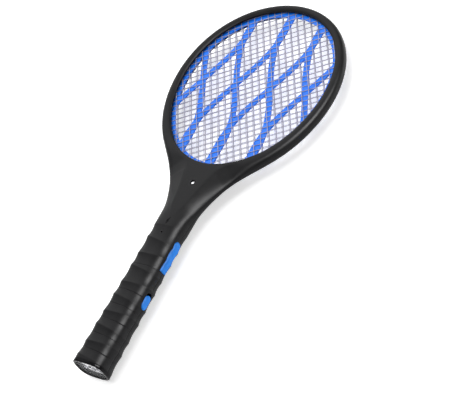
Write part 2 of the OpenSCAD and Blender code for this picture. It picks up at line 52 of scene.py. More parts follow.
HEAD_A, HEAD_B = 106.9, 125.1       # half width and half length of the head
OPEN_A, OPEN_B = 95.9, 112.4        # half width and half length of the opening
OPEN_SHIFT = 2.1                    # how far the opening's middle is above the head's
EGG = 0.056                         # how much wider the ovals are above their middle
RING_H = 7.1                        # half thickness of the head's frame
CREST_DROP, CREST_REACH = 0.9, 30   # how far the crest drops onto the ring, and over what length
FRONT_LIP, REAR_LIP = 3.1, 4.7      # heights of the two lips that hold the grids
LENS_W, LENS_H = 20.2, 17.0         # half section at the lens end
GRIP_W, GRIP_H = 19.2, 13.6         # half section at the top of the grip
TAPER_Y = 120                       # where the torch's thickness stops tapering
SQUARENESS = 3.0                    # power of the handle's rounded-square section
WALL = 2.2                          # thickness of the shells
RIDGE_0, RIDGE_GAP, RIDGE_D = 8.4, 18.77, 0.9   # first ridge, their spacing, depth between them
GRIP_TOP = 9                        # number of the top ridge
SLANT, LEAN = -0.18, -0.08          # slopes of the ridges across and through the handle
LENS_END_INSET = 0.3                # how much the handle narrows to the lens end
SPLIT_Y = 125.4                     # where the torch meets the racket
END_GAP, SPLIT_EDGE = 0.05, 0.1     # gap before a shell's end, and the inset of the split's edges
BEZEL_L = 3.0                       # length of the bezel
THROAT_Y = 172.0                    # where the throat starts to thin
FLARE_Y0, FLARE_Y1 = 176.0, 292.0   # where the handle's sides leave the grip and join the head
HANDLE_TOP = 200                    # past here the skin has no hollows, and its rows spread out
FOLD_Y, FOLD_LENGTH = 182, 26       # where the grip's section turns into a plate and flanks
FOLD = 0.26                         # slope of the flank at the plate's edge
LEAN_END_Y = 230                    # where the ridges' lean has faded out of the throat
RING_Y = 240                        # past here the skin may round down to the opening's edge
GAP = 0.35                          # clearance round the button and the knob
BUTTON_Y0, BUTTON_Y1 = 126.6, 165.1     # ends of the zap button
BUTTON_R, PROUD = 5.2, 1.2          # its half width, and how far it stands out of the skin
SLOT_Y, SLOT_L, SLOT_W = 89.8, 20.2, 10.0   # middle, length and width of the torch switch's slot
KNOB_L, KNOB_Y = 16.5, 88.3         # length and middle of the torch switch's knob
PORT_Y, PORT_L, PORT_W = 23.0, 9.0, 3.3     # middle, length and width of the charging port's mouth
DOT_Y, DOT_R = 167.5, 1.1           # hole of the indicator
BOLT_Y, BOLT_DEPTH = 182.5, 1.1     # lightning mark
THROAT_SCREW_Y, THROAT_SCREW_Z = 236.7, 8.0             # place and top of the throat's screw
HANDLE_SCREW_Y, HANDLE_SCREW_Z = (152.0, 205.0), -9.4   # places and top of the back's screws
BOSS_R = 5.2                        # radius of the thicker wall under a screw
OUTSIDE = 30.0                      # past the handle's side, where the side cutters end

frame_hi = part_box("frame_front")[1]
bezel_lo, bezel_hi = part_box("bezel_ring")
OVERALL_L = (frame_hi.y - bezel_lo.y) * 1000
HEAD_Y = OVERALL_L - HEAD_B
OPEN_Y = HEAD_Y + OPEN_SHIFT
FOOT_Y = OPEN_Y - OPEN_B
MID_Z = (bezel_lo.z + bezel_hi.z) / 2


def at(x, y, z):
    """A point of the design, as a place in the frame in metres."""
    return Vector((x / 1000, bezel_lo.y + y / 1000, MID_Z + z / 1000))


def lerp(a, b, t):
    """The number a share t of the way from a to b."""
    return a + (b - a) * t


def clamp01(t):
    """t, held between 0 and 1."""
    return min(1.0, max(0.0, t))


def ease(t):
    """From 0 to 1 with a level start and end."""
    t = clamp01(t)
    return t * t * (3 - 2 * t)


def power(v, p):
    """A power that keeps the number's sign."""
    return math.copysign(abs(v) ** p, v)


# ---- Outlines ----


def oval(a, b, cy, degrees):
    """A point of an egg-shaped oval, with the angle counted from the head's top."""
    t = math.radians(degrees)
    return a * math.sin(t) * (1 + EGG * math.cos(t)), cy + b * math.cos(t)


def head_edge(degrees):
    return oval(HEAD_A, HEAD_B, HEAD_Y, degrees)


def opening_edge(degrees):
    return oval(OPEN_A, OPEN_B, OPEN_Y, degrees)


def opening_gap(x, y):
    """Distance from the opening's edge, out into the frame."""
    t = math.atan2(x / OPEN_A, (y - OPEN_Y) / OPEN_B)
    wide = OPEN_A * (1 + EGG * math.cos(t))
    share = math.hypot(x / wide, (y - OPEN_Y) / OPEN_B)
    return (share - 1) * math.hypot(wide * math.sin(t), OPEN_B * math.cos(t))


JOIN_ANGLE = math.degrees(math.acos((FLARE_Y1 - HEAD_Y) / HEAD_B))
FLARE_W = head_edge(JOIN_ANGLE)[0]


def half_w(y):
    """Half width: a straight grip, then a flare into the head."""
    if y < FLARE_Y0:
        return lerp(LENS_W, GRIP_W, clamp01(y / FLARE_Y0))
    t = clamp01((y - FLARE_Y0) / (FLARE_Y1 - FLARE_Y0))
    return GRIP_W + (FLARE_W - GRIP_W) * (t**1.95 + 0.5 * t**8 * (1 - t))


def half_h(y):
    """Half thickness: tapers along the torch, then evenly down the throat."""
    if y < TAPER_Y:
        return lerp(LENS_H, GRIP_H, y / TAPER_Y)
    return lerp(GRIP_H, RING_H + CREST_DROP, clamp01((y - THROAT_Y) / (FOOT_Y - THROAT_Y)))


def crest_h(y):
    """Height of the throat's plate and of the frame's crest."""
    return half_h(y) - CREST_DROP * ease((y - FOOT_Y) / CREST_REACH)


def ridge_line(k, x):
    """Where ridge k crosses the parting plane's place x: every other ridge slants."""
    return RIDGE_0 + RIDGE_GAP * k + (SLANT * x if k % 2 == 0 else 0)


def hollow(x, y):
    """Depth of the handle's hollows at a place on the parting plane."""
    if y < ridge_line(0, x):
        return LENS_END_INSET * (ridge_line(0, x) - y) / (ridge_line(0, x) - BEZEL_L)
    for k in range(GRIP_TOP):
        if ridge_line(k, x) <= y < ridge_line(k + 1, x):
            t = (y - ridge_line(k, x)) / (ridge_line(k + 1, x) - ridge_line(k, x))
            return RIDGE_D * 4 * t * (1 - t)
    return 0.0


# ---- Mesh building ----


def new_piece(name, verts, faces, material, body, replaces=(), slot=None, crease=35):
    """A piece from points of the design and faces, smooth but for its sharp edges."""
    mesh = bpy.data.meshes.new(name)
    mesh.from_pydata([at(*v) for v in verts], [], faces)
    bm = bmesh.new()
    bm.from_mesh(mesh)
    bmesh.ops.remove_doubles(bm, verts=bm.verts, dist=2e-6)
    bmesh.ops.dissolve_degenerate(bm, edges=bm.edges, dist=1e-7)
    bmesh.ops.recalc_face_normals(bm, faces=bm.faces)
    bm.to_mesh(mesh)
    bm.free()
    piece = bpy.data.objects.new(name, mesh)
    bpy.context.scene.collection.objects.link(piece)
    shade(piece, crease)
    if material:
        piece.data.materials.append(material)
    if body:
        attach(piece, body)
    if replaces:
        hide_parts(*replaces)
    return piece


def shade(piece, crease):
    """Smooth shading, with edges sharper than the crease angle left sharp."""
    piece.data.shade_smooth()
    piece.data.set_sharp_from_angle(angle=math.radians(crease))


def cut(piece, cutters, crease=35):
    """Takes the cutters out of a piece and throws them away."""
    for tool in cutters:
        step = piece.modifiers.new("cut", "BOOLEAN")
        step.operation = "DIFFERENCE"
        step.solver = "EXACT"
        step.object = tool
    graph = bpy.context.evaluated_depsgraph_get()
    mesh = bpy.data.meshes.new_from_object(piece.evaluated_get(graph))
    mesh.name = piece.name
    bm = bmesh.new()
    bm.from_mesh(mesh)
    bmesh.ops.triangulate(bm, faces=[f for f in bm.faces if len(f.verts) > 4])
    bmesh.ops.dissolve_degenerate(bm, edges=bm.edges, dist=2e-6)
    bm.to_mesh(mesh)
    bm.free()
    piece.modifiers.clear()
    piece.data = mesh
    for tool in cutters:
        bpy.data.objects.remove(tool)
    shade(piece, crease)


def loft(loops, cap=True):
    """Points and faces of a closed tube through loops with the same number of points."""
    n = len(loops[0])
    verts = [p for loop in loops for p in loop]
    faces = []
    for i in range(len(loops) - 1):
        for j in range(n):
            a, b = i * n + j, i * n + (j + 1) % n
            faces.append((a, b, b + n, a + n))
    if cap:
        faces.append(tuple(reversed(range(n))))
        faces.append(tuple(range(len(verts) - n, len(verts))))
    return verts, faces


def swept(loops):
    """Points and faces of a band whose last loop joins its first."""
    verts, faces = loft(loops, cap=False)
    n, last = len(loops[0]), (len(loops) - 1) * len(loops[0])
    for j in range(n):
        faces.append((last + j, last + (j + 1) % n, (j + 1) % n, j))
    return verts, faces


def sheet(outer, inner, walls):
    """A thick sheet between two grids of points. walls(r, c, r2, c2) says which edges close."""
    rows, cols = len(outer), len(outer[0])
    verts = [p for row in outer for p in row] + [p for row in inner for p in row]
    back = rows * cols
    faces = []
    for r in range(rows - 1):
        for c in range(cols - 1):
            a, b = r * cols + c, r * cols + c + 1
            faces.append((a, b, b + cols, a + cols))
            faces.append((back + a + cols, back + b + cols, back + b, back + a))
    edges = [((0, c), (0, c + 1)) for c in range(cols - 1)]
    edges += [((rows - 1, c), (rows - 1, c + 1)) for c in range(cols - 1)]
    edges += [((r, 0), (r + 1, 0)) for r in range(rows - 1)]
    edges += [((r, cols - 1), (r + 1, cols - 1)) for r in range(rows - 1)]
    for (r, c), (r2, c2) in edges:
        if walls(r, c, r2, c2):
            a, b = r * cols + c, r2 * cols + c2
            faces.append((a, b, back + b, back + a))
    return verts, faces


def merged(parts):
    """Points and faces of several parts as one list of each."""
    verts, faces = [], []
    for part_verts, part_faces in parts:
        base = len(verts)
        verts += part_verts
        faces += [tuple(i + base for i in face) for face in part_faces]
    return verts, faces


def stadium(length, width, steps=12):
    """A slot's outline, with its long side along the first axis."""
    r, reach = width / 2, (length - width) / 2
    points = []
    for side, start in ((1, -90), (-1, 90)):
        for i in range(steps + 1):
            a = math.radians(start + 180 * i / steps)
            points.append((side * reach + r * math.cos(a), r * math.sin(a)))
    return points


def circle(r, steps=32):
    turns = [2 * math.pi * (i + 0.5) / steps for i in range(steps)]
    return [(r * math.cos(a), r * math.sin(a)) for a in turns]


def cutter(loop_a, loop_b):
    """A prism between two loops, to be taken out of a piece."""
    return new_piece("cutter", *loft([loop_a, loop_b]), None, None)


def drill(x, y, r, z0, z1):
    """A round cutter along Z."""
    ring = [(x + u, y + v) for u, v in circle(r)]
    return cutter([(*place, z0) for place in ring], [(*place, z1) for place in ring])


# ---- The shells' skin ----
# A row is a line across the skin, from its inner end (the middle line or the opening's edge)
# to its outer end on the parting plane. The plate is the row's inner part, the flank its outer.

PLATE_STEPS, FLANK_STEPS, FINE = 8, 18, 120
PARTING_D, PARTING_W = 0.3, 0.48    # depth and half width of the groove along the parting plane


class Row:
    """One line across the skin, with its section."""

    def __init__(self, inner, outer, slope=0.0, lean=0.0, plate=0.42, flank=1.0,
                 fold=0.0, n=SQUARENESS, pinch=0.0, tall=None, end=0.0):
        self.inner, self.outer = inner, outer
        self.slope, self.lean = slope, lean
        self.plate = plate          # share of the row that is plate
        self.flank = flank          # share of the row over which the section curves down
        self.fold = fold            # slope of the flank at the fold
        self.n = n                  # power of the flank's curve
        self.pinch = pinch          # depth of a fine groove along the row
        self.tall = tall            # height, where it doesn't follow the crest
        self.end = end              # inset of a shell's end edge
        self.w = math.dist(inner, outer)

    def plan(self, share):
        """The place on the parting plane at a share of the row."""
        return lerp(self.inner[0], self.outer[0], share), lerp(self.inner[1], self.outer[1], share)

    def point(self, share, u):
        """A point at a share of the row, which is u across the flank (1 is its top)."""
        x, y = self.plan(share)
        top = self.tall if self.tall else crest_h(y)
        bend = (1 - (1 - clamp01(u)) ** self.n) ** (1 / self.n)
        z = top * bend - self.fold * self.flank * self.w * (1 - clamp01(u)) * clamp01(u)
        return x, y, z

    def section(self):
        """The row's points from its inner end out: [x, y, z] with z above the parting plane."""
        points = []
        for i in range(PLATE_STEPS):
            share = self.plate * (i / PLATE_STEPS) ** 1.3
            points.append(self.point(share, (1 - share) / self.flank))
        u0 = clamp01((1 - self.plate) / self.flank)
        start = math.acos(clamp01(1 - u0) ** (self.n / 2))
        fine = []
        for i in range(FINE + 1):
            u = 1 - math.cos(start * (1 - i / FINE)) ** (2 / self.n)
            fine.append(self.point(1 - u * self.flank, u))
        points += spaced(fine, FLANK_STEPS)
        return points


def spaced(points, steps):
    """The same line with evenly spaced points."""
    lengths = [0.0]
    for a, b in zip(points, points[1:]):
        lengths.append(lengths[-1] + math.dist(a, b))
    out, i = [], 0
    for s in range(steps + 1):
        want = lengths[-1] * s / steps
        while i < len(points) - 2 and lengths[i + 1] < want:
            i += 1
        span = lengths[i + 1] - lengths[i]
        t = (want - lengths[i]) / span if span else 0
        out.append(tuple(lerp(p, q, clamp01(t)) for p, q in zip(points[i], points[i + 1])))
    return out


def edge_drop(x, y, z):
    """The rounding down of the plate and the frame's band to the opening's edge."""
    degrees = math.degrees(math.atan2(abs(x) / OPEN_A, (y - OPEN_Y) / OPEN_B))
    ring = 1 - ease((degrees - 135) / 22)       # 1 round the head, 0 at the throat's plate
    reach, drop = lerp(1.2, 4.6, ring), lerp(0.5, 1.5, ring)
    near = clamp01(1 - opening_gap(x, y) / reach)
    return z - drop * near * near


def skin_rows(rows, side, front, boss):
    """The outer and the inner grid of one side of a shell."""
    outer, inner = [], []
    for row in rows:
        out_line, in_line = [], []
        section = row.section()
        x1, y1, _ = section[-1]
        section.insert(-1, (lerp(x1, row.plan(0)[0], 0.01 / row.w), y1, PARTING_W))
        for x, y, z in section:
            flat_y = y + row.slope * x * side
            inset = hollow(x * side, flat_y) + row.pinch + row.end if y < HANDLE_TOP else 0.0
            tall = row.tall if row.tall else half_h(y)
            groove = PARTING_D if z < 0.01 else 0.0
            shrink = 1 - (inset + groove) / row.w
            px, py, pz = x * shrink, y, z * (1 - inset / tall)
            if y > RING_Y:
                px, py = lerp(x, row.inner[0], groove / row.w), lerp(y, row.inner[1], groove / row.w)
                pz = edge_drop(px, py, pz)
            out_line.append((px * side, py + row.slope * px * side + row.lean * pz * front, pz * front))
            hidden = min(1.0, 1 - (WALL + 0.4) / row.w)     # where the inner skin stops
            share = clamp01(math.dist((x, y), row.inner) / row.w)
            qx, qy = row.plan(min(share, hidden))
            qz = max(0.0, pz - WALL)
            if y > RING_Y and opening_gap(qx, qy) < 3:
                qz = max(qz, FRONT_LIP if front > 0 else REAR_LIP)
            for boss_y, boss_z in boss:
                if math.hypot(qx, qy - boss_y) < BOSS_R:
                    qz = min(qz, boss_z)
            in_line.append((qx * side, qy + row.slope * qx * side + row.lean * qz * front, qz * front))
        outer.append(out_line)
        inner.append(in_line)
    return outer, inner


# Places of the rows between two ridges, as shares of the way: close together at the ridges.
BAND = (0, 0.02, 0.07, 0.15, 0.25, 0.36, 0.46, 0.54, 0.64, 0.75, 0.85, 0.93, 0.98)


def station(y, slope=0.0, lean=LEAN, **more):
    """A row straight across the handle, from its middle line."""
    return Row((0.0, y), (half_w(y), y), slope, lean, tall=half_h(y), **more)


def band_rows(k0, k1, grooved):
    """Rows of the hollows from ridge k0 to k1, grooved with a fine line along their middle or not."""
    rows = []
    for k in range(k0, k1):
        slopes = [SLANT if j % 2 == 0 else 0.0 for j in (k, k + 1)]
        places = [(t, 0.0) for t in BAND]
        if grooved:
            places += [(0.486, 0.0), (0.5, 0.28), (0.514, 0.0)]
        for t, pinch in sorted(places):
            rows.append(station(RIDGE_0 + RIDGE_GAP * (k + t), lerp(*slopes, t), pinch=pinch))
    return rows


def torch_rows():
    """Rows from the bezel up the torch to the split."""
    first = BEZEL_L + END_GAP
    rows = [station(first, 0, 0, end=LENS_END_INSET), station(first + 0.4, 0, 0)]
    for t in (0.25, 0.5, 0.75, 0.95):
        rows.append(station(lerp(first, RIDGE_0, t), SLANT * t, LEAN * t))
    rows += band_rows(0, 5, True) + band_rows(5, 6, False)
    ridge, last = RIDGE_0 + RIDGE_GAP * 6, SPLIT_Y - END_GAP
    for t in (0, 0.06, 0.25, 0.5, 0.75, 0.92):
        rows.append(station(lerp(ridge, last, t), lerp(SLANT, 0, t)))
    return rows + [station(last, end=SPLIT_EDGE)]


def racket_rows():
    """Rows from the split up the grip and the throat, and round the head to its top."""
    first, ridge_7 = SPLIT_Y + END_GAP, RIDGE_0 + RIDGE_GAP * 7
    rows = [station(first, end=SPLIT_EDGE), station(first + 0.25)]
    for t in (0.12, 0.24, 0.36, 0.48, 0.6, 0.72, 0.84, 0.93, 0.98):
        rows.append(station(lerp(first, ridge_7, t)))
    rows += band_rows(7, GRIP_TOP, False)
    ridge_9 = RIDGE_0 + RIDGE_GAP * GRIP_TOP
    for y in (ridge_9, ridge_9 + 0.4, ridge_9 + 1.4, ridge_9 + 3, 186, 189, 192, 195, 198):
        rows.append(throat_row(y, y, lerp(0.42, 0.34, clamp01((y - 180) / 20))))
    steps = 24
    for i in range(steps + 1):
        v = i / steps
        y = lerp(HANDLE_TOP, FOOT_Y, 1 - (1 - v) ** 1.25)
        v = (y - HANDLE_TOP) / (FOOT_Y - HANDLE_TOP)
        outer_y = HANDLE_TOP + (FOOT_Y - HANDLE_TOP) * (v - 0.38 * v * v)
        rows.append(throat_row(y, outer_y, lerp(0.34, 0.52, v)))
    rows += foot_rows(26)
    steps = 56
    for i in range(1, steps + 1):
        t = JOIN_ANGLE * (1 - i / steps)
        rows.append(Row(opening_edge(t), head_edge(t), plate=0.45, flank=0.55, n=2.4))
    return rows


def throat_row(y, outer_y, plate):
    """A row of the throat, whose outer end is at outer_y. plate is the share that is plate."""
    turned = ease((y - FOLD_Y) / FOLD_LENGTH)
    fade = LEAN * clamp01((LEAN_END_Y - y) / (LEAN_END_Y - (RIDGE_0 + RIDGE_GAP * GRIP_TOP)))
    return Row(
        (0.0, y), (half_w(outer_y), outer_y), 0.0, fade, plate=plate,
        flank=lerp(1, 1 - plate, turned), fold=FOLD * turned, n=lerp(SQUARENESS, 1.9, turned),
    )


def foot_rows(steps):
    """Rows that fan out from the opening's foot into the head's frame."""
    start_y = 240.04        # where the throat's last row meets the side
    rows = []
    for i in range(1, steps + 1):
        u = (i / steps) ** 1.15
        outer_y = start_y + (FLARE_Y1 - start_y) * (0.35 * u + 0.65 * u * u)
        plate = max(0.52 - 1.08 * u, 0.16 + 0.29 * ease((u - 0.45) / 0.55))
        rows.append(Row(
            opening_edge(lerp(180, JOIN_ANGLE, u)), (half_w(outer_y), outer_y), plate=plate,
            flank=1 - plate, fold=FOLD * (1 - ease((u - 0.3) / 0.4)), n=lerp(1.9, 2.4, u),
        ))
    return rows


def shell(name, rows, front, ring, cutters, boss=()):
    """One moulded shell, front (1) or rear (-1). ring says that the rows run on round the head."""
    parts = []
    foot = next((i for i, r in enumerate(rows) if r.inner[0] > 0), len(rows)) - 1
    for side in (1, -1):
        outer, inner = skin_rows(rows, side, front, boss)
        last_row, last_col = len(outer) - 1, len(outer[0]) - 1

        def walls(r, c, r2, c2):
            if c == c2 == last_col:
                return True
            if c == c2 == 0:
                return ring and r >= foot
            return r == 0 or (r == last_row and not ring)

        parts.append(sheet(outer, inner, walls))
    body = "racket" if ring else "torch"
    piece = new_piece(name + "_skin", *merged(parts), MATERIALS["black_plastic"], body, [name],
                      "black_plastic", crease=50)
    cut(piece, cutters, crease=50)
    return piece


def button_outline(clear):
    """The button's outline in Y and Z: a round head end and an oblique lower end."""
    r, y0 = BUTTON_R + clear, BUTTON_Y0 - clear
    middle = BUTTON_Y1 - BUTTON_R
    points = [(y0 - LEAN * r, -r)]
    for i in range(25):
        a = math.radians(-90 + 180 * i / 24)
        points.append((middle + r * math.cos(a), r * math.sin(a)))
    points.append((y0 + LEAN * r, r))
    return points


def button_cutter():
    """Half the button's hole in each moulding."""
    loop = button_outline(GAP)
    return cutter([(12.0, y, z) for y, z in loop], [(OUTSIDE, y, z) for y, z in loop])


def slot_cutter():
    """The slot that the torch's switch slides in."""
    loop = [(SLOT_Y + y, z) for y, z in stadium(SLOT_L, SLOT_W)]
    return cutter([(13.0, y, z) for y, z in loop], [(OUTSIDE, y, z) for y, z in loop])


def port_cutter():
    """The charging port's mouth in the torch's back."""
    loop = [(x, PORT_Y + y) for x, y in stadium(PORT_L, PORT_W)]
    return cutter([(x, y, -12.0) for x, y in loop], [(x, y, -20.0) for x, y in loop])


def bolt_cutter():
    """A small engraved lightning mark."""
    half = [(1.3, 5.4), (-2.1, -0.7), (-0.4, -0.7)]
    loop = [(x, BOLT_Y + y) for x, y in half + [(-x, -y) for x, y in half]]
    top = crest_h(BOLT_Y)
    return cutter([(*place, top - BOLT_DEPTH) for place in loop], [(*place, top + 2) for place in loop])


def make_shells():
    """The four mouldings, with their holes, slots and screw seats."""
    screw_seat = THROAT_SCREW_Z - 1.2
    shell("frame_front", racket_rows(), 1, True, [
        button_cutter(),
        drill(0, DOT_Y, DOT_R, 6, 20),
        drill(0, THROAT_SCREW_Y, 3.0, screw_seat, 20),
        bolt_cutter(),
    ], boss=[(THROAT_SCREW_Y, screw_seat - 2)])
    rear_seat = -HANDLE_SCREW_Z - 1.4
    shell("frame_rear", racket_rows(), -1, True, [
        button_cutter(), *[drill(0, y, 2.8, -rear_seat, -20) for y in HANDLE_SCREW_Y],
    ], boss=[(y, rear_seat - 2) for y in HANDLE_SCREW_Y])
    shell("torch_front_shell", torch_rows(), 1, False, [slot_cutter()])
    shell("torch_rear_shell", torch_rows(), -1, False, [slot_cutter(), port_cutter()])


# ---- Button and knob ----


def skin_x(y, z):
    """How far the handle's side stands out at a height z."""
    inset = hollow(half_w(y), y)
    return (half_w(y) - inset) * (1 - clamp01(abs(z) / (half_h(y) - inset)) ** SQUARENESS) ** (1 / SQUARENESS)


def pad(name, y0, y1, r, base_x, top_x, edge, oblique, slot, body, replaces):
    """A push pad on the handle's side: rounded edges, a round head end and a round or oblique lower end."""
    def reach(y):
        if y > y1 - r:
            return math.sqrt(max(0.0, r * r - (y - y1 + r) ** 2))
        if not oblique and y < y0 + r:
            return math.sqrt(max(0.0, r * r - (y - y0 - r) ** 2))
        return r

    def inside(y, z):
        if y > y1 - r:
            return r - math.hypot(y - y1 + r, z)
        if oblique:
            return min(r - abs(z), y - y0)
        if y < y0 + r:
            return r - math.hypot(y - y0 - r, z)
        return r - abs(z)

    rows, cols = 56, 20
    top, bottom = [], []
    for i in range(rows + 1):
        y = lerp(y0, y1, 0.5 - 0.5 * math.cos(math.pi * i / rows))
        line, low = [], []
        for j in range(cols + 1):
            z = reach(y) * math.sin(math.pi * (j / cols - 0.5))
            near = clamp01(1 - inside(y, z) / edge)
            x = top_x(y, z) - edge * (1 - math.sqrt(1 - near * near))
            shift = LEAN * z * clamp01(1 - (y - y0) / 14) if oblique else 0
            line.append((x, y + shift, z))
            low.append((base_x, y + shift, z))
        top.append(line)
        bottom.append(low)
    return new_piece(name, *sheet(top, bottom, lambda *edge_ends: True), MATERIALS[slot], body,
                     replaces, slot, crease=60)


def make_controls():
    """The zap button and the torch's switch."""
    pad("zap_button_pad", BUTTON_Y0, BUTTON_Y1, BUTTON_R, 14.2,
        lambda y, z: skin_x(y, z) + PROUD, 1.0, True, "blue_soft", "zap_button", ["zap_button"])
    knob_r = SLOT_W / 2 - GAP
    pad("torch_switch_pad", KNOB_Y - KNOB_L / 2, KNOB_Y + KNOB_L / 2, knob_r, 15.4,
        lambda y, z: 20.4 - 0.02 * z * z, 1.1, False, "blue_soft", "torch_switch",
        ["torch_switch_knob"])


# ---- Lamp ----


def lens_outline(inset, count=96):
    """The rounded square of the lens end in X and Z, with evenly spaced points."""
    fine = []
    for i in range(721):
        a = 2 * math.pi * i / 720
        x = (LENS_W - inset) * power(math.cos(a), 2 / SQUARENESS)
        fine.append((x, (LENS_H - inset) * power(math.sin(a), 2 / SQUARENESS)))
    return spaced(fine, count)[:-1]


def make_lamp():
    """The bezel, swept round the lens, and the reflector block with a cup for each LED."""
    profile = [
        (0.3, 3.0), (0, 2.7), (0, 1.5), (0.1, 0.85), (0.4, 0.35), (0.9, 0.08), (1.5, 0), (2.3, 0.02),
        (2.75, 0.25), (2.9, 0.75), (2.12, 0.78), (2.12, 3.0),
    ]
    outlines = [lens_outline(inset) for inset, _ in profile]
    loops = [
        [(outlines[k][i][0], profile[k][1], outlines[k][i][1]) for k in range(len(profile))]
        for i in range(len(outlines[0]))
    ]
    new_piece("bezel_ring_skin", *swept(loops), MATERIALS["black_gloss"], "torch", ["bezel_ring"],
              "black_gloss", crease=40)

    y0, y1 = BEZEL_L + 0.1, BEZEL_L + 9.1       # front and back of the reflector block
    rim = lens_outline(WALL + RIDGE_D + 0.8)
    ends = [[(x, y, z) for x, z in rim] for y in (y0, y1)]
    block = new_piece("reflector_cups", *loft(ends), MATERIALS["reflector_chrome"], "torch",
                      ["reflector"], "reflector_chrome", crease=5)
    cups = []
    for cx in (-10.2, 0, 10.2):
        loops = []
        for t in (-0.02, 0.12, 0.3, 0.5, 0.7, 0.88, 1.01):
            r = lerp(2.4, 4.9, math.sqrt(clamp01(1 - t)))
            loops.append([(cx + u, lerp(y0, y1, t), v) for u, v in circle(r, 18)])
        cups.append(new_piece("cutter", *loft(loops), None, None))
    cut(block, cups, crease=5)


# ---- Screws ----


def make_screw(name, y, z, down, r, node):
    """A domed cross-head screw. down is -1 for a head that faces up and 1 for one that faces down."""
    profile = [(r, 1.2), (r, 0.75), (r * 0.93, 0.45), (r * 0.78, 0.2), (r * 0.5, 0.04), (r * 0.2, 0)]
    loops = [[(1.15 * c, 1.15 * s) for c, s in circle(1)]] * 2
    depths = [9.0, 1.2]
    for pr, depth in profile:
        loops.append(circle(pr))
        depths.append(depth)
    verts = [[(u, y + v, z + down * d) for u, v in loop] for loop, d in zip(loops, depths)]
    piece = new_piece(name, *loft(verts), MATERIALS["screw_steel"], "racket", node, "screw_steel", crease=30)
    arm, half = r * 0.62, 0.32
    cross = [
        (arm, -half), (arm, half), (half, half), (half, arm), (-half, arm), (-half, half),
        (-arm, half), (-arm, -half), (-half, -half), (-half, -arm), (half, -arm), (half, -half),
    ]
    low, high = z + down * 0.8, z - down * 2
    cut(piece, [cutter([(u, y + v, low) for u, v in cross], [(u, y + v, high) for u, v in cross])], 30)


def make_rear_lip():
    """The rear lip under the grids, which stands a little further into the opening."""
    profile = [(-1.6, -REAR_LIP), (-1.6, -5.2), (-1.2, -5.5), (1.6, -5.6), (1.6, -REAR_LIP)]
    loops = []
    for i in range(144):
        edge = [oval(OPEN_A + out, OPEN_B + out, OPEN_Y, 2.5 * i) for out, _ in profile]
        loops.append([(*place, z) for place, (_, z) in zip(edge, profile)])
    new_piece("frame_rear_lip", *swept(loops), MATERIALS["black_plastic"], "racket", slot="black_plastic")


def make_screws():
    """The throat's screw and the two in the handle's back."""
    make_screw("throat_screw_head", THROAT_SCREW_Y, THROAT_SCREW_Z, -1, 2.6, ["throat_screw"])
    for i, y in enumerate(HANDLE_SCREW_Y):
        make_screw(f"handle_screw_{i + 1}", y, HANDLE_SCREW_Z, 1, 2.5, ["handle_screws"] if i == 0 else [])


# ---- Materials ----


def material(name, colour, rough, metallic=0.0, tint=0.12, patch=60, grain=2500, bump=0.05,
             wear=0.0, coat=0.0, alpha=1.0, specular=0.5):
    """A moulded or metal surface: patches of tone, fine grain, uneven gloss and worn edges."""
    m = bpy.data.materials.new(name)
    m.use_nodes = True
    nodes, links = m.node_tree.nodes, m.node_tree.links
    shader = nodes["Principled BSDF"]
    shader.inputs["Metallic"].default_value = metallic
    shader.inputs["Alpha"].default_value = alpha
    shader.inputs["Specular IOR Level"].default_value = specular
    shader.inputs["Coat Weight"].default_value = coat
    shader.inputs["Coat Roughness"].default_value = 0.12
    place = nodes.new("ShaderNodeTexCoord")

    def noise(scale, detail):
        n = nodes.new("ShaderNodeTexNoise")
        n.inputs["Scale"].default_value = scale
        n.inputs["Detail"].default_value = detail
        links.new(place.outputs["Object"], n.inputs["Vector"])
        return n.outputs["Fac"]

    def ramp(value, low, high):
        n = nodes.new("ShaderNodeMapRange")
        n.inputs["From Min"].default_value = 0.3
        n.inputs["From Max"].default_value = 0.7
        n.inputs["To Min"].default_value = low
        n.inputs["To Max"].default_value = high
        links.new(value, n.inputs["Value"])
        return n.outputs["Result"]

    def mix(fac, a, b):
        n = nodes.new("ShaderNodeMix")
        n.data_type = "RGBA"
        n.inputs["A"].default_value = (*a, 1)
        n.inputs["B"].default_value = (*b, 1)
        links.new(fac, n.inputs["Factor"])
        return n

    patches, grains = noise(patch, 3), noise(grain, 2)
    darker = [c * (1 - tint) for c in colour]
    lighter = [min(1.0, c * (1 + tint)) for c in colour]
    tone = mix(ramp(patches, 0, 1), darker, lighter)
    colour_out = tone.outputs["Result"]
    if wear:
        edge = nodes.new("ShaderNodeNewGeometry")
        sharp = nodes.new("ShaderNodeMapRange")
        sharp.inputs["From Min"].default_value = 0.54
        sharp.inputs["From Max"].default_value = 0.62
        sharp.inputs["To Max"].default_value = wear
        links.new(edge.outputs["Pointiness"], sharp.inputs["Value"])
        worn = mix(sharp.outputs["Result"], colour, [min(1.0, c * 2.2 + 0.02) for c in colour])
        links.new(colour_out, worn.inputs["A"])
        colour_out = worn.outputs["Result"]
    links.new(colour_out, shader.inputs["Base Color"])
    links.new(ramp(patches, rough * 0.9, min(1, rough * 1.1)), shader.inputs["Roughness"])
    relief = nodes.new("ShaderNodeBump")
    relief.inputs["Strength"].default_value = bump
    relief.inputs["Distance"].default_value = 0.0002
    links.new(grains, relief.inputs["Height"])
    links.new(relief.outputs["Normal"], shader.inputs["Normal"])
    return m


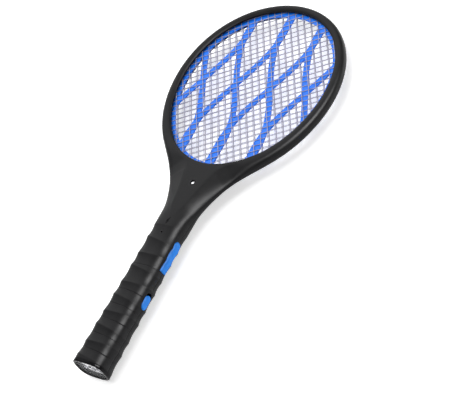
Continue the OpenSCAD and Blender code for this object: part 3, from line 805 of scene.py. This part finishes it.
MATERIALS = {
    "black_plastic": material(
        "black_plastic", (0.006, 0.006, 0.007), 0.42, bump=0.12, wear=0.4, specular=0.14),
    "black_gloss": material("black_gloss", (0.005, 0.005, 0.006), 0.25, bump=0.04, specular=0.1),
    "grid_wire": material("grid_wire", (0.42, 0.41, 0.47), 0.35, metallic=1.0, patch=300, bump=0.1),
    "blue_plastic": material("blue_plastic", (0.0, 0.17, 0.86), 0.38, tint=0.08, bump=0.1, specular=0.3),
    "blue_soft": material(
        "blue_soft", (0.008, 0.235, 0.86), 0.45, tint=0.06, bump=0.15, wear=0.3, specular=0.2),
    "screw_steel": material("screw_steel", (0.9, 0.9, 0.92), 0.36, metallic=1.0, bump=0.1),
    "dark_component": material("dark_component", (0.02, 0.02, 0.02), 0.35),
    "ivory_plastic": material("ivory_plastic", (0.75, 0.7, 0.58), 0.45),
    "green_board": material("green_board", (0.01, 0.12, 0.05), 0.3, coat=0.4),
    "yellow_tape": material("yellow_tape", (0.72, 0.5, 0.05), 0.35),
    "capacitor_red": material("capacitor_red", (0.35, 0.04, 0.03), 0.3, coat=0.3),
    "resistor_tan": material("resistor_tan", (0.55, 0.38, 0.2), 0.5),
    "led_red": material("led_red", (0.65, 0.05, 0.03), 0.15, alpha=0.85),
    "lead_red": material("lead_red", (0.45, 0.02, 0.02), 0.5),
    "contact_brass": material("contact_brass", (0.75, 0.52, 0.2), 0.28, metallic=1.0),
    "contact_steel": material("contact_steel", (0.68, 0.68, 0.7), 0.25, metallic=1.0),
    "clear_lens": material("clear_lens", (0.9, 0.94, 1.0), 0.04, alpha=0.06, bump=0.0),
    "gasket_rubber": material("gasket_rubber", (0.012, 0.012, 0.012), 0.7),
    "reflector_chrome": material(
        "reflector_chrome", (0.6, 0.6, 0.62), 0.1, metallic=1.0, tint=0.03, bump=0.0),
    "white_board": material("white_board", (0.8, 0.8, 0.8), 0.4),
    "led_phosphor": material("led_phosphor", (0.85, 0.7, 0.15), 0.35),
    "cell_wrap": material("cell_wrap", (0.03, 0.22, 0.08), 0.25, coat=0.3),
}


def dress_cad_nodes():
    """Every CAD node takes the material of its record slot."""
    for part in frame["record"]["subparts"]:
        node = frame["nodes"][part["node"]]
        node.data.materials.clear()
        node.data.materials.append(MATERIALS[part["material_slot"]])


# ---- Studio ----


def plain(name, colour, rough, glow):
    """An even, matt studio surface that glows a little."""
    m = bpy.data.materials.new(name)
    m.use_nodes = True
    shader = m.node_tree.nodes["Principled BSDF"]
    shader.inputs["Base Color"].default_value = (*colour, 1)
    shader.inputs["Roughness"].default_value = rough
    shader.inputs["Specular IOR Level"].default_value = 0.1
    shader.inputs["Emission Color"].default_value = (1, 1, 1, 1)
    shader.inputs["Emission Strength"].default_value = glow
    return m


def make_floor():
    """A white floor 12 m wide, just under the object."""
    mesh = bpy.data.meshes.new("floor")
    corners = [(x * 6, y * 6, 0) for x, y in ((-1, -1), (1, -1), (1, 1), (-1, 1))]
    mesh.from_pydata(corners, [], [(0, 1, 2, 3)])
    floor = bpy.data.objects.new("floor", mesh)
    floor.location.z = -0.0005
    bpy.context.scene.collection.objects.link(floor)
    mesh.materials.append(plain("floor_white", (0.85, 0.85, 0.85), 0.9, 0.6))


def softbox(name, direction, distance, size, power_w):
    """A rectangular light, in a direction and at a distance from the object's middle."""
    light = bpy.data.lights.new(name, "AREA")
    light.shape = "RECTANGLE"
    light.size, light.size_y = size
    light.energy = power_w
    box = bpy.data.objects.new(name, light)
    away = Vector(direction).normalized()
    box.location = away * distance
    box.rotation_euler = away.to_track_quat("Z", "Y").to_euler()
    bpy.context.scene.collection.objects.link(box)
    return box


def make_studio():
    """A white room: dim world, glowing floor and three lights."""
    scene = bpy.context.scene
    scene.view_settings.view_transform = "Standard"
    world = bpy.data.worlds.new("studio")
    world.use_nodes = True
    world.node_tree.nodes["Background"].inputs["Color"].default_value = (1, 1, 1, 1)
    world.node_tree.nodes["Background"].inputs["Strength"].default_value = 0.25
    scene.world = world
    make_floor()
    softbox("key", (-0.62, 0.55, 0.56), 2.4, (2.4, 2.4), 30)
    fill = softbox("fill", (-0.3, 0.1, 1.0), 2.4, (2.4, 2.4), 52)
    fill.visible_glossy = False
    side = softbox("side", (0.56, 0.2, 0.8), 1.5, (0.95, 1.2), 80)
    side.visible_diffuse = False


def make_camera():
    """The camera, fitted to the outlines of the head and the handle."""
    yaw, pitch, roll = math.radians(38.189), math.radians(24.205), math.radians(29.143)
    back = Vector((math.sin(yaw) * math.cos(pitch), -math.sin(pitch), math.cos(yaw) * math.cos(pitch)))
    up = (Vector((0, 1, 0)) - back * back.y).normalized()
    right = up.cross(back)
    x_axis = right * math.cos(roll) + up * math.sin(roll)
    y_axis = up * math.cos(roll) - right * math.sin(roll)
    camera = bpy.data.cameras.new("camera")
    camera.sensor_width = 36
    camera.lens = 114.14
    camera.clip_end = 50
    holder = bpy.data.objects.new("camera", camera)
    matrix = holder.matrix_world.copy()
    for i, axis in enumerate((x_axis, y_axis, back)):
        for j in range(3):
            matrix[j][i] = axis[j]
    matrix.translation = Vector((0.90500, -0.64856, 1.11051))
    holder.matrix_world = matrix
    bpy.context.scene.collection.objects.link(holder)
    bpy.context.scene.camera = holder


make_camera()
dress_cad_nodes()
make_shells()
make_rear_lip()
make_controls()
make_lamp()
make_screws()
make_studio()
